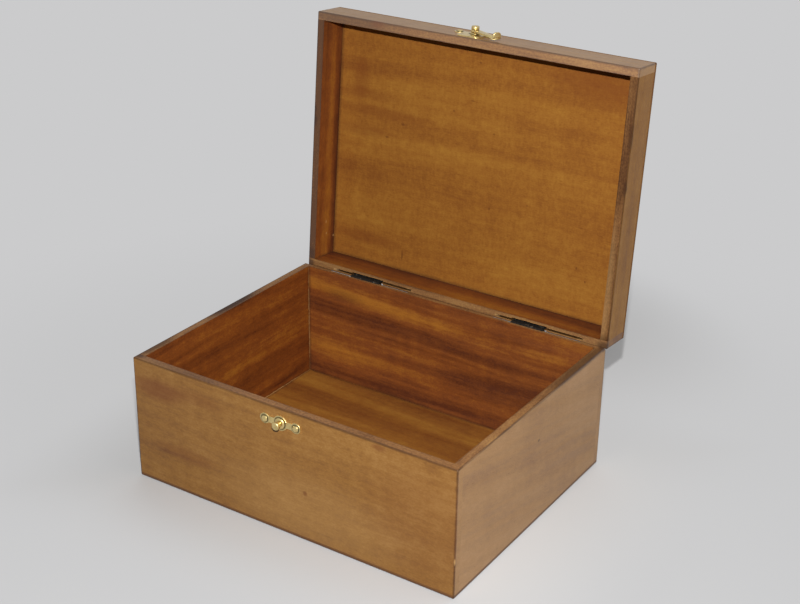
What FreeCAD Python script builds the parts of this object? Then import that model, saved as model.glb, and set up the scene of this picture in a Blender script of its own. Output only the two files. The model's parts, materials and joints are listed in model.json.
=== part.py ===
import FreeCAD, Part
import os
import re

# Hinged wooden box with a swing-hook clasp, standing with its lid open.
# Millimetres; +X to the box's right, +Y to its back, +Z up; origin at the middle of the underside.
# The lid's pieces are drawn shut and then swung open about the hinge axis.

SIZES = {
    # Carcass
    "box_width": 300,
    "box_depth": 230,
    "box_height": 108,
    "wall": 7,
    "base_thick": 3,
    "arris": 1.0,
    "rear_bevel": 3.2,
    # Lid, sawn from the same boards as the box
    "lid_height": 32,
    "lid_panel_thick": 3.5,
    "rim_gap": 0.3,
    "lid_open": 94.7,
    # Hinges: where they sit
    "left_hinge_x": -85,
    "right_hinge_x": 78,
    "hinge_axis_in": 0.7,
    "hinge_axis_drop": 2.4,
    # Hinges: saw kerfs and barrel pockets in the rims
    "left_kerf_shift": 5,
    "right_kerf_shift": 9,
    "saw_radius": 60,
    "kerf_side_clear": 0.4,
    "kerf_floor_clear": 0.5,
    "pocket_side_clear": 1.5,
    "pocket_front_clear": 1.2,
    "pocket_rise": 3.5,
    "barrel_clear": 0.5,
    # Hinges: leaves and pins
    "hinge_width": 30,
    "middle_knuckle": 11,
    "knuckle_gap": 0.3,
    "leaf_in": 2.9,
    "leaf_thick": 1.0,
    "leaf_depth": 11,
    "barb_height": 1.2,
    "barb_gap": 0.05,
    "pin_gap": 0.05,
    # Clasp: where it sits
    "clasp_x": -3.8,
    "catch_drop": 12.2,
    "hook_rise": 16.2,
    # Clasp: plates
    "plate_thick": 0.8,
    "lobe_radius": 4.4,
    "lobe_spacing": 14.4,
    "plate_bar": 5.6,
    "plate_disc_radius": 6.2,
    "tongue_width": 21,
    "tongue_rim_gap": 2.2,
    "tongue_round": 4,
    # Clasp: nails
    "nail_head_radius": 2.8,
    "nail_head_height": 1.2,
    "nail_dome": 1.1,
    "nail_radius": 0.6,
    "nail_length": 5,
    "hole_gap": 0.05,
    "hole_spare": 0.5,
    # Clasp: stud, spacer and rivet
    "collar_radius": 4.6,
    "nail_clear": 0.3,
    "neck_radius": 1.8,
    "groove_height": 2.0,
    "knob_radius": 3.3,
    "knob_height": 2.9,
    "knob_round": 1.0,
    "stud_tail_radius": 1.2,
    "stud_tail_length": 5,
    "rivet_tail_length": 1.2,
    "rivet_tail_clear": 0.3,
    # Clasp: hook
    "hook_thick": 1.6,
    "hook_eye_radius": 3.8,
    "hook_arm_width": 4.2,
    "hook_end_radius": 5.2,
    "notch_gap": 0.3,
    "hook_turn_gap": 0.05,
    "hook_tab_width": 6.4,
    "hook_tab_rise": 4.6,
    "hook_tab_out": 0.4,
    "hook_tab_round": 2.2,
    "hook_aside": 61,
}

# Places that several pieces share, as expressions on the sizes
FRONT = "(-box_depth / 2)"
BACK = "(box_depth / 2)"
RIM = "box_height"
LID_RIM = "(box_height + rim_gap)"
LID_RAIL_HEIGHT = "(lid_height - lid_panel_thick)"
AXIS_Y = "(box_depth / 2 - hinge_axis_in)"
AXIS_Z = "(box_height - hinge_axis_drop)"
BARREL_RADIUS = "(leaf_in - hinge_axis_in + leaf_thick / 2)"
BORE_RADIUS = "(leaf_in - hinge_axis_in - leaf_thick / 2)"
KERF_WIDTH = "(leaf_thick + 2 * kerf_side_clear)"
KERF_REACH = "(hinge_width / 2 + max(abs(left_kerf_shift); abs(right_kerf_shift)))"
KERF_DEPTH = f"(saw_radius - sqrt(saw_radius ^ 2 - {KERF_REACH} ^ 2) + leaf_depth + kerf_floor_clear)"
POCKET_WIDTH = "(hinge_width + 2 * pocket_side_clear)"
POCKET_IN = "(leaf_in + leaf_thick / 2 + pocket_front_clear)"
CATCH_Z = "(box_height - catch_drop)"
PIVOT_Z = "(box_height + rim_gap + hook_rise)"
HOOK_REACH = "(rim_gap + hook_rise + catch_drop)"
COLLAR_TOP = "(plate_thick + nail_head_height + nail_clear)"
KNOB_BASE = f"({COLLAR_TOP} + groove_height)"
HOOK_BASE = f"({COLLAR_TOP} + (groove_height - hook_thick) / 2)"
HOOK_TOP = f"({HOOK_BASE} + hook_thick)"
OPEN_LID = (
    "placement(vector(0; 0; 0); rotation(vector(1; 0; 0); -lid_open); "
    f"vector(0; {AXIS_Y}; {AXIS_Z}))"
)
HOOK_ASIDE = (
    "placement(vector(0; 0; 0); rotation(vector(0; 1; 0); -hook_aside); "
    f"vector(clasp_x; 0; {PIVOT_Z}))"
)

# A cylinder starts along +Z; these turn it to lie along each axis.
ALONG = {
    "x": FreeCAD.Rotation(FreeCAD.Vector(0, 1, 0), 90),
    "y": FreeCAD.Rotation(FreeCAD.Vector(1, 0, 0), -90),
}
SIDES = ("left", "right")
TOUCH = 1e-4

doc = FreeCAD.newDocument("hinged_box")
sheet = doc.addObject("Spreadsheet::Sheet", "Sizes")
for row, (alias, size) in enumerate(SIZES.items(), start=1):
    sheet.set(f"A{row}", alias)
    sheet.set(f"B{row}", str(size))
    sheet.setAlias(f"B{row}", alias)
doc.recompute()

nodes = []


def sized(text):
    """Turn the sizes named in an expression into references to their cells."""
    return re.sub(r"[a-z_]+", lambda word: f"Sizes.{word[0]}" if word[0] in SIZES else word[0], text)


def bind(piece, **expressions):
    """Bind a piece's properties to expressions on the sizes."""
    for name, text in expressions.items():
        piece.setExpression(name, sized(text))
    return piece


def put(piece, x, y, z):
    """Bind the point that a primitive is drawn from."""
    for axis, text in zip("xyz", (x, y, z)):
        piece.setExpression(f"Placement.Base.{axis}", sized(text))
    return piece


def block(name, size, corner):
    """A rectangular block from its lowest corner."""
    piece = doc.addObject("Part::Box", name)
    length, width, height = size
    bind(piece, Length=length, Width=width, Height=height)
    return put(piece, *corner)


def rod(name, axis, radius, length, start):
    """A cylinder along an axis from its starting point."""
    piece = doc.addObject("Part::Cylinder", name)
    piece.Placement.Rotation = ALONG[axis]
    bind(piece, Radius=radius, Height=length)
    return put(piece, *start)


def front_rod(name, radius, low, high, x, z):
    """A cylinder that stands out of the front face between two heights above it."""
    return rod(name, "y", radius, f"({high}) - ({low})", (x, f"{FRONT} - ({high})", z))


def fuse(name, pieces):
    """Several shapes joined into one."""
    piece = doc.addObject("Part::MultiFuse", name)
    piece.Shapes = pieces
    piece.Refine = True
    return piece


def cut(name, base, tools):
    """A shape with the tools' space removed."""
    piece = doc.addObject("Part::Cut", name)
    piece.Base = base
    piece.Tool = tools[0] if len(tools) == 1 else fuse(f"{name}_tools", tools)
    return piece


def edges_at(shape, places):
    """Numbers of the edges that lie on every side named in one of the places, such as 'YMin ZMax'."""
    found = []
    for number, edge in enumerate(shape.Edges, start=1):
        for place in places:
            sides = place.split()
            flat = [
                abs(getattr(edge.BoundBox, side[0] + end) - getattr(shape.BoundBox, side)) < TOUCH
                for side in sides
                for end in ("Min", "Max")
            ]
            if all(flat):
                found.append(number)
                break
    if not found:
        raise RuntimeError(f"no edge lies at {places}")
    return found


def ease(kind, name, base, size, places):
    """Round or bevel the edges at the named places."""
    doc.recompute()
    piece = doc.addObject(kind, name)
    piece.Base = base
    amount = float(sheet.get(size))
    piece.Edges = [(number, amount, amount) for number in edges_at(base.Shape, places)]
    return piece


def soften(name, base, size, places):
    """Round the edges at the named places."""
    return ease("Part::Fillet", name, base, size, places)


def node(piece, label, place=None):
    """Name a finished piece and set where it stands."""
    piece.Label = label
    if place:
        piece.setExpression("Placement", sized(place))
    nodes.append(piece)


def pair_x(side):
    """The two places of nails beside the middle of the clasp."""
    return "clasp_x - lobe_spacing" if side == "left" else "clasp_x + lobe_spacing"


# Box carcass

WALL_HEIGHT = "box_height - base_thick"


def nail_holes(name, z):
    """Pilot holes behind the two nails of a clasp plate."""
    radius = "nail_radius + hole_gap"
    depth = "nail_length + hole_spare"
    return [front_rod(f"{name}_{side}", radius, f"-({depth})", "0", pair_x(side), z) for side in SIDES]


def hinge_recess(name, side, rim, into, pocket_depth):
    """Space for one hinge in a rim: a pocket for its barrel and a kerf that runs out both ways.

    into is 1 where the wood is above the rim and -1 where it is below.
    """
    pocket_floor = rim if into == 1 else f"{rim} - ({pocket_depth})"
    pocket = block(
        f"{name}_pocket",
        (POCKET_WIDTH, POCKET_IN, pocket_depth),
        (f"{side}_hinge_x - {POCKET_WIDTH} / 2", f"{BACK} - {POCKET_IN}", pocket_floor),
    )
    saw_centre = (
        f"{side}_hinge_x + {side}_kerf_shift",
        f"{BACK} - leaf_in - {KERF_WIDTH} / 2",
        f"{rim} + {into} * ({KERF_DEPTH} - saw_radius)",
    )
    return [pocket, rod(f"{name}_kerf", "y", "saw_radius", KERF_WIDTH, saw_centre)]


def make_front_wall():
    corner = ("-box_width / 2", FRONT, "base_thick")
    board = block("front_board", ("box_width", "wall", WALL_HEIGHT), corner)
    rounded = ["YMin ZMax", "XMin ZMax", "XMax ZMax", "XMin YMin", "XMax YMin"]
    board = soften("front_board_soft", board, "arris", rounded)
    holes = nail_holes("catch_nail_hole", CATCH_Z)
    depth = "stud_tail_length + hole_spare"
    radius = "stud_tail_radius + hole_gap"
    holes.append(front_rod("stud_hole", radius, f"-({depth})", "0", "clasp_x", CATCH_Z))
    node(cut("front_wall", board, holes), "front_wall")


def make_back_wall():
    corner = ("-box_width / 2", f"{BACK} - wall", "base_thick")
    board = block("back_board", ("box_width", "wall", WALL_HEIGHT), corner)
    board = ease("Part::Chamfer", "back_board_bevelled", board, "rear_bevel", ["YMax ZMax"])
    rounded = ["XMin ZMax", "XMax ZMax", "XMin YMax", "XMax YMax"]
    board = soften("back_board_soft", board, "arris", rounded)
    pocket_depth = f"hinge_axis_drop + {BARREL_RADIUS} + barrel_clear"
    recesses = []
    for side in SIDES:
        recesses += hinge_recess(f"box_{side}_hinge", side, RIM, -1, pocket_depth)
    node(cut("back_wall", board, recesses), "back_wall")


def make_side_wall(side, x, outer):
    corner = (x, f"{FRONT} + wall", "base_thick")
    board = block(f"{side}_board", ("wall", "box_depth - 2 * wall", WALL_HEIGHT), corner)
    node(soften(f"{side}_wall", board, "arris", [f"{outer} ZMax"]), f"{side}_wall")


def make_base_panel():
    panel = block("base_sheet", ("box_width", "box_depth", "base_thick"), ("-box_width / 2", FRONT, "0"))
    corners = [f"{x} {y}" for x in ("XMin", "XMax") for y in ("YMin", "YMax")]
    edges = [f"{edge} ZMin" for edge in ("XMin", "XMax", "YMin", "YMax")]
    node(soften("base_panel", panel, "arris", corners + edges), "base_panel")


make_front_wall()
make_back_wall()
make_side_wall("left", "-box_width / 2", "XMin")
make_side_wall("right", "box_width / 2 - wall", "XMax")
make_base_panel()


# Lid

LID_ENDS = ["XMin ZMin", "XMax ZMin"]


def make_lid_front_rail():
    corner = ("-box_width / 2", FRONT, LID_RIM)
    rail = block("lid_front_board", ("box_width", "wall", LID_RAIL_HEIGHT), corner)
    rounded = LID_ENDS + ["YMin ZMin", "XMin YMin", "XMax YMin"]
    rail = soften("lid_front_board_soft", rail, "arris", rounded)
    holes = nail_holes("hook_nail_hole", PIVOT_Z)
    depth = "rivet_tail_length + rivet_tail_clear"
    radius = "neck_radius + rivet_tail_clear"
    holes.append(front_rod("rivet_hole", radius, f"-({depth})", "0", "clasp_x", PIVOT_Z))
    node(cut("lid_front_rail", rail, holes), "lid_front_rail", OPEN_LID)


def make_lid_back_rail():
    corner = ("-box_width / 2", f"{BACK} - wall", LID_RIM)
    rail = block("lid_back_board", ("box_width", "wall", LID_RAIL_HEIGHT), corner)
    rounded = LID_ENDS + ["YMax ZMin", "XMin YMax", "XMax YMax"]
    rail = soften("lid_back_board_soft", rail, "arris", rounded)
    recesses = []
    for side in SIDES:
        recesses += hinge_recess(f"lid_{side}_hinge", side, LID_RIM, 1, "pocket_rise")
    node(cut("lid_back_rail", rail, recesses), "lid_back_rail", OPEN_LID)


def make_lid_side_rail(side, x, outer):
    corner = (x, f"{FRONT} + wall", LID_RIM)
    rail = block(f"lid_{side}_board", ("wall", "box_depth - 2 * wall", LID_RAIL_HEIGHT), corner)
    node(soften(f"lid_{side}_rail", rail, "arris", [f"{outer} ZMin"]), f"lid_{side}_rail", OPEN_LID)


def make_lid_panel():
    panel = block(
        "lid_sheet",
        ("box_width", "box_depth", "lid_panel_thick"),
        ("-box_width / 2", FRONT, f"{LID_RIM} + {LID_RAIL_HEIGHT}"),
    )
    corners = [f"{x} {y}" for x in ("XMin", "XMax") for y in ("YMin", "YMax")]
    edges = [f"{edge} ZMax" for edge in ("XMin", "XMax", "YMin", "YMax")]
    node(soften("lid_panel", panel, "arris", corners + edges), "lid_panel", OPEN_LID)


make_lid_front_rail()
make_lid_back_rail()
make_lid_side_rail("left", "-box_width / 2", "XMin")
make_lid_side_rail("right", "box_width / 2 - wall", "XMax")
make_lid_panel()


# Hinges

LEAF_Y = f"{BACK} - leaf_in - leaf_thick / 2"
STRAP_RISE = f"({BARREL_RADIUS} + barrel_clear)"


def make_leaf(label, side, knuckles, up, edge_z, place):
    """A leaf that stands in its kerf, with straps that roll round the pin.

    knuckles are (start, length) along the hinge. up is 1 for the lid's leaf, which rises from the axis
    to edge_z, and -1 for the box's leaf, which drops to edge_z.
    """
    left_end = f"{side}_hinge_x - hinge_width / 2"
    plate_start = f"({AXIS_Z} + {up} * {STRAP_RISE})"
    low, high = (plate_start, edge_z) if up == 1 else (edge_z, plate_start)
    plate_size = ("hinge_width", "leaf_thick", f"{high} - {low}")
    solids = [block(f"{label}_plate", plate_size, (left_end, LEAF_Y, low))]
    barb_low = f"{edge_z} - barb_height" if up == 1 else edge_z
    barb_width = f"({KERF_WIDTH} - 2 * barb_gap)"
    solids.append(
        block(
            f"{label}_barb",
            ("hinge_width", barb_width, "barb_height"),
            (left_end, f"{BACK} - leaf_in - {barb_width} / 2", barb_low),
        )
    )
    bores = []
    for number, (start, length) in enumerate(knuckles, start=1):
        x = f"{left_end} + {start}"
        strap_low = AXIS_Z if up == 1 else plate_start
        strap_size = (length, "leaf_thick", STRAP_RISE)
        solids.append(block(f"{label}_strap{number}", strap_size, (x, LEAF_Y, strap_low)))
        solids.append(rod(f"{label}_roll{number}", "x", BARREL_RADIUS, length, (x, AXIS_Y, AXIS_Z)))
        bores.append(rod(f"{label}_bore{number}", "x", BORE_RADIUS, length, (x, AXIS_Y, AXIS_Z)))
    node(cut(label, fuse(f"{label}_sheet", solids), bores), label, place)


def make_hinge(side):
    outer = "((hinge_width - middle_knuckle) / 2 - knuckle_gap)"
    outer_knuckles = [("0", outer), (f"hinge_width - {outer}", outer)]
    middle = [("(hinge_width - middle_knuckle) / 2", "middle_knuckle")]
    make_leaf(f"{side}_hinge_box_leaf", side, outer_knuckles, -1, f"({RIM} - leaf_depth)", None)
    make_leaf(f"{side}_hinge_lid_leaf", side, middle, 1, f"({LID_RIM} + leaf_depth)", OPEN_LID)
    pin_start = (f"{side}_hinge_x - hinge_width / 2", AXIS_Y, AXIS_Z)
    pin = rod(f"{side}_hinge_pin", "x", f"{BORE_RADIUS} - pin_gap", "hinge_width", pin_start)
    node(pin, f"{side}_hinge_pin")


make_hinge("left")
make_hinge("right")


# Clasp


def plate_parts(name, z):
    """A disc and two lobes joined by a bar, on the front face."""
    parts = [front_rod(f"{name}_disc", "plate_disc_radius", "0", "plate_thick", "clasp_x", z)]
    for side in SIDES:
        parts.append(front_rod(f"{name}_{side}_lobe", "lobe_radius", "0", "plate_thick", pair_x(side), z))
    parts.append(
        block(
            f"{name}_bar",
            ("2 * lobe_spacing", "plate_thick", "plate_bar"),
            (pair_x("left"), f"{FRONT} - plate_thick", f"{z} - plate_bar / 2"),
        )
    )
    return parts


def plate_holes(name, z, middle_radius):
    """Holes through a clasp plate for its nails and its middle fitting."""
    holes = [front_rod(f"{name}_middle", f"{middle_radius} + hole_gap", "0", "plate_thick", "clasp_x", z)]
    radius = "nail_radius + hole_gap"
    for side in SIDES:
        holes.append(front_rod(f"{name}_{side}", radius, "0", "plate_thick", pair_x(side), z))
    return holes


def make_nails(label, z, place):
    """Two round-headed nails through a clasp plate."""
    nails = []
    top = "plate_thick + nail_head_height"
    for side in SIDES:
        name = f"{label}_{side}"
        head = front_rod(f"{name}_head", "nail_head_radius", "plate_thick", top, pair_x(side), z)
        dome = soften(f"{name}_dome", head, "nail_dome", ["YMin"])
        shank = front_rod(f"{name}_shank", "nail_radius", "-nail_length", "plate_thick", pair_x(side), z)
        nails.append(fuse(name, [dome, shank]))
    group = doc.addObject("Part::Compound", label)
    group.Links = nails
    node(group, label, place)


def knob(name, z):
    """The rounded head of a turned fitting, above the hook's groove."""
    head = front_rod(f"{name}_head", "knob_radius", KNOB_BASE, f"{KNOB_BASE} + knob_height", "clasp_x", z)
    return soften(f"{name}_knob", head, "knob_round", ["YMin"])


def make_catch():
    plate = fuse("catch_plate_sheet", plate_parts("catch_plate", CATCH_Z))
    holes = plate_holes("catch_plate_hole", CATCH_Z, "stud_tail_radius")
    node(cut("catch_plate", plate, holes), "catch_plate")
    turned = [
        front_rod("stud_tail", "stud_tail_radius", "-stud_tail_length", "plate_thick", "clasp_x", CATCH_Z),
        front_rod("stud_collar", "collar_radius", "plate_thick", COLLAR_TOP, "clasp_x", CATCH_Z),
        front_rod("stud_neck", "neck_radius", COLLAR_TOP, KNOB_BASE, "clasp_x", CATCH_Z),
        knob("stud", CATCH_Z),
    ]
    node(fuse("catch_stud", turned), "catch_stud")
    make_nails("catch_nails", CATCH_Z, None)


def make_hook_plate():
    parts = plate_parts("hook_plate", PIVOT_Z)
    tongue = block(
        "tongue_sheet",
        ("tongue_width", "plate_thick", "hook_rise - tongue_rim_gap"),
        ("clasp_x - tongue_width / 2", f"{FRONT} - plate_thick", f"{LID_RIM} + tongue_rim_gap"),
    )
    parts.append(soften("tongue", tongue, "tongue_round", ["XMin ZMin", "XMax ZMin"]))
    plate = fuse("hook_plate_sheet", parts)
    holes = plate_holes("hook_plate_hole", PIVOT_Z, "neck_radius")
    node(cut("hook_plate", plate, holes), "hook_plate", OPEN_LID)
    make_nails("hook_plate_nails", PIVOT_Z, OPEN_LID)


def make_hook_pivot():
    collar = front_rod("spacer_ring", "collar_radius", "plate_thick", COLLAR_TOP, "clasp_x", PIVOT_Z)
    bore_radius = "neck_radius + hole_gap"
    bore = front_rod("spacer_bore", bore_radius, "plate_thick", COLLAR_TOP, "clasp_x", PIVOT_Z)
    node(cut("hook_spacer", collar, [bore]), "hook_spacer", OPEN_LID)
    shank = front_rod("rivet_shank", "neck_radius", "-rivet_tail_length", KNOB_BASE, "clasp_x", PIVOT_Z)
    node(fuse("hook_rivet", [shank, knob("rivet", PIVOT_Z)]), "hook_rivet", OPEN_LID)


def make_clasp_hook():
    """An eye on the rivet, an arm, a round end with a notch that opens to the left, and a finger tab.

    Drawn latched on the stud. The notch follows an arc about the rivet, so that it slips over the stud.
    """

    def disc(name, radius, z):
        return front_rod(name, radius, HOOK_BASE, HOOK_TOP, "clasp_x", z)

    face = f"{FRONT} - {HOOK_TOP}"
    arm_corner = ("clasp_x - hook_arm_width / 2", face, CATCH_Z)
    arm = block("hook_arm", ("hook_arm_width", "hook_thick", HOOK_REACH), arm_corner)
    eye = disc("hook_eye", "hook_eye_radius", PIVOT_Z)
    end = disc("hook_end", "hook_end_radius", CATCH_Z)
    tab_size = ("hook_tab_width", "hook_thick + hook_tab_rise", "hook_thick")
    tab_corner = (
        "clasp_x - hook_tab_width / 2",
        f"{face} - hook_tab_rise",
        f"{CATCH_Z} - hook_end_radius - hook_tab_out",
    )
    tab_sheet = block("hook_tab_sheet", tab_size, tab_corner)
    tab = soften("hook_tab", tab_sheet, "hook_tab_round", ["XMin YMin", "XMax YMin"])
    outline = fuse("hook_outline", [arm, eye, end, tab])

    bore = disc("hook_bore", "neck_radius + hook_turn_gap", PIVOT_Z)
    notch_radius = "(neck_radius + notch_gap)"
    seat = disc("notch_seat", notch_radius, CATCH_Z)
    outer = disc("notch_outer", f"{HOOK_REACH} + {notch_radius}", PIVOT_Z)
    inner = disc("notch_inner", f"{HOOK_REACH} - {notch_radius}", PIVOT_Z)
    mouth_size = ("2 * hook_end_radius", "hook_thick", "4 * hook_end_radius")
    mouth_corner = ("clasp_x - 2 * hook_end_radius", face, f"{CATCH_Z} - 2 * hook_end_radius")
    mouth = doc.addObject("Part::Common", "notch_mouth")
    mouth.Base = cut("notch_track", outer, [inner])
    mouth.Tool = block("notch_left_side", mouth_size, mouth_corner)
    hook = cut("clasp_hook", outline, [bore, seat, mouth])
    node(hook, "clasp_hook", f"{OPEN_LID} * {HOOK_ASIDE}")


make_catch()
make_hook_plate()
make_hook_pivot()
make_clasp_hook()


# Check every object, then write one file for each piece

doc.recompute()
for piece in doc.Objects:
    if "Invalid" in piece.State or "Error" in piece.State:
        raise RuntimeError(f"{piece.Label} failed: {piece.State}")
for piece in nodes:
    if piece.Shape.isNull() or not piece.Shape.isValid():
        raise RuntimeError(f"{piece.Label} has no valid shape")

os.makedirs("parts", exist_ok=True)
for piece in nodes:
    piece.Shape.exportStep(f"parts/{piece.Label}.step")
    print(piece.Label, len(piece.Shape.Solids), round(piece.Shape.Volume, 2))
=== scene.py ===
"""Finish of a hinged wooden box: stained boards, dark hinges and a brass swing-hook clasp.

Metres; +X to the box's right, +Y to its back, +Z up. The lid stands open. Its pieces are worked out as if
the lid were shut, in the box's own upright frame, and then swung open about the hinge line.
"""

import json
import math
from typing import NamedTuple

import bmesh
import bpy
import numpy as np
from mathutils import Matrix, Vector


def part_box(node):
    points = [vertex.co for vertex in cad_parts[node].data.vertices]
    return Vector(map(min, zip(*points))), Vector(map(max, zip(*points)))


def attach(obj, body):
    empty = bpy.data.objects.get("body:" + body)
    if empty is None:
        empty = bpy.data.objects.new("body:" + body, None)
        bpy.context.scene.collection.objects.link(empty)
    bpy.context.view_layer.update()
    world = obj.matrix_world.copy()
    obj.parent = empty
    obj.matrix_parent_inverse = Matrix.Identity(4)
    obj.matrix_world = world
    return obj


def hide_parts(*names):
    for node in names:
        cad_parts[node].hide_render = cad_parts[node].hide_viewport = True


bl_info = {
    "name": "Hinged Wooden Box",
    "version": (1, 0, 0),
    "blender": (4, 5, 0),
    "location": "View3D > Sidebar > Box",
    "description": "Stains a hinged wooden box and builds its brass swing-hook clasp",
    "category": "Object",
}

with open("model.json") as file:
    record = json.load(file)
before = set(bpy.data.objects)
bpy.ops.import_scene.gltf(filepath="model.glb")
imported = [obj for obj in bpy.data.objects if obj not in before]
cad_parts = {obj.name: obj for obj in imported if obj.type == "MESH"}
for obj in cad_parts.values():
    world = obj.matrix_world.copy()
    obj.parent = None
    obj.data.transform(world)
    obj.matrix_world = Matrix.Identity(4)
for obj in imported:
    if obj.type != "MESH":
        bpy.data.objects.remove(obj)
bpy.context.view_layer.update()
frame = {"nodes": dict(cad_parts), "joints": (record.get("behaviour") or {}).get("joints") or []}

MM = 0.001

# Places read from the frame
JOINTS = {joint["name"]: joint for joint in frame["joints"]}
HINGE = Vector(JOINTS["lid_swing"]["pos_m"])
LID_OPEN = math.radians(JOINTS["lid_swing"]["range_deg"][1])
HOOK_ASIDE = math.radians(JOINTS["hook_swing"]["range_deg"][1])
OPEN_LID = Matrix.Translation(HINGE) @ Matrix.Rotation(-LID_OPEN, 4, "X") @ Matrix.Translation(-HINGE)
SHUT_LID = OPEN_LID.inverted()
PIVOT = SHUT_LID @ Vector(JOINTS["hook_swing"]["pos_m"])
SWING_HOOK = Matrix.Translation(PIVOT) @ Matrix.Rotation(-HOOK_ASIDE, 4, "Y") @ Matrix.Translation(-PIVOT)


def moved(points, matrix):
    """Points carried by a 4 by 4 matrix."""
    table = np.array(matrix)
    return points @ table[:3, :3].T + table[:3, 3]


def shut_box(node):
    """Lowest and highest corner of one of the lid's nodes with the lid shut."""
    mesh = frame["nodes"][node].data
    points = np.empty(3 * len(mesh.vertices), np.float32)
    mesh.vertices.foreach_get("co", points)
    shut = moved(points.reshape(-1, 3), SHUT_LID)
    return Vector(shut.min(0)), Vector(shut.max(0))


HALF_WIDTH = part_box("base_panel")[1].x
HALF_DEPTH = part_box("base_panel")[1].y
BASE_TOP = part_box("base_panel")[1].z
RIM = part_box("front_wall")[1].z
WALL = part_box("front_wall")[1].y + HALF_DEPTH
INNER_X = HALF_WIDTH - WALL
INNER_Y = HALF_DEPTH - WALL
LID_RIM = shut_box("lid_front_rail")[0].z
PANEL_FACE = shut_box("lid_panel")[0].z
LID_TOP = shut_box("lid_panel")[1].z
STUD = sum(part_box("catch_stud"), Vector()) / 2


# Properties

def linear(code):
    """Linear red, green and blue of a six-digit colour code."""
    parts = np.array([int(code[place:place + 2], 16) for place in (0, 2, 4)]) / 255
    return tuple(np.where(parts <= 0.04045, parts / 12.92, ((parts + 0.055) / 1.055) ** 2.4))


def colour(name, description, code):
    return bpy.props.FloatVectorProperty(
        name=name, description=description, default=linear(code), subtype="COLOR", min=0, max=1
    )


def length(name, description, millimetres):
    return bpy.props.FloatProperty(
        name=name, description=description, default=millimetres * MM, unit="LENGTH", min=0, precision=4
    )


def angle(name, description, degrees):
    return bpy.props.FloatProperty(
        name=name, description=description, default=math.radians(degrees), subtype="ANGLE"
    )


def share(name, description, value):
    return bpy.props.FloatProperty(
        name=name, description=description, default=value, subtype="FACTOR", min=0
    )


def position(name, description, metres):
    return bpy.props.FloatVectorProperty(
        name=name, description=description, default=metres, subtype="TRANSLATION", unit="LENGTH"
    )


class BoxWood(bpy.types.PropertyGroup):
    """Stain colours of the boards."""

    face_light: colour("Face, light", "Lightest streaks of the outer faces", "b2854a")
    face_mid: colour("Face", "Stain of the outer faces", "95672e")
    face_dark: colour("Face, dark", "Darkest streaks of the outer faces", "70451b")
    # Side colours: lighter and greyer than the face stain, with part of the sides' sheen painted in
    side_light: colour("Side, light", "Lightest streaks of the box's sides", "b98e63")
    side_mid: colour("Side", "Greyer stain of the box's sides", "a77c4b")
    side_dark: colour("Side, dark", "Darkest streaks of the box's sides", "885f3b")
    panel_light: colour("Panel, light", "Lightest streaks of the lid's panel", "a5722a")
    panel_mid: colour("Panel", "Stain of the lid's panel", "8f5a1e")
    panel_dark: colour("Panel, dark", "Darkest streaks of the lid's panel", "733f14")
    inner_light: colour("Inside, light", "Lightest streaks inside the box", "a2661f")
    inner_mid: colour("Inside", "Stain inside the box", "7d4215")
    inner_dark: colour("Inside, dark", "Darkest streaks inside the box", "54260d")
    rim_light: colour("Rim, light", "Lightest flecks of the sawn rims", "a67c48")
    rim_mid: colour("Rim", "Stain of the sawn rims", "885e36")
    rim_dark: colour("Rim, dark", "Darkest flecks of the sawn rims", "59381f")
    arris: colour("Arris", "Stain that gathered along the outer edges", "351d0e")
    russet: colour("Russet", "Reddish smudges where the stain ran", "6e3510")
    raw: colour("Raw wood", "Bare wood at chips and at the ends of the saw cuts", "c79d66")


class BoxMetal(bpy.types.PropertyGroup):
    """Colours of the metal fittings."""

    brass: colour("Brass", "Bright plated brass", "e3cb8c")
    brass_dull: colour("Dull brass", "Tarnish in soft patches", "9c884c")
    # Painted shade round the nails and posts, where they meet the plate
    crevice_shade: colour("Grime", "Dark grime round the nails and posts", "3a3012")
    iron: colour("Hinge metal", "Blackened hinge metal", "1d1a17")
    iron_worn: colour("Worn hinge metal", "Hinge metal rubbed bright", "5a534a")


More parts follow.
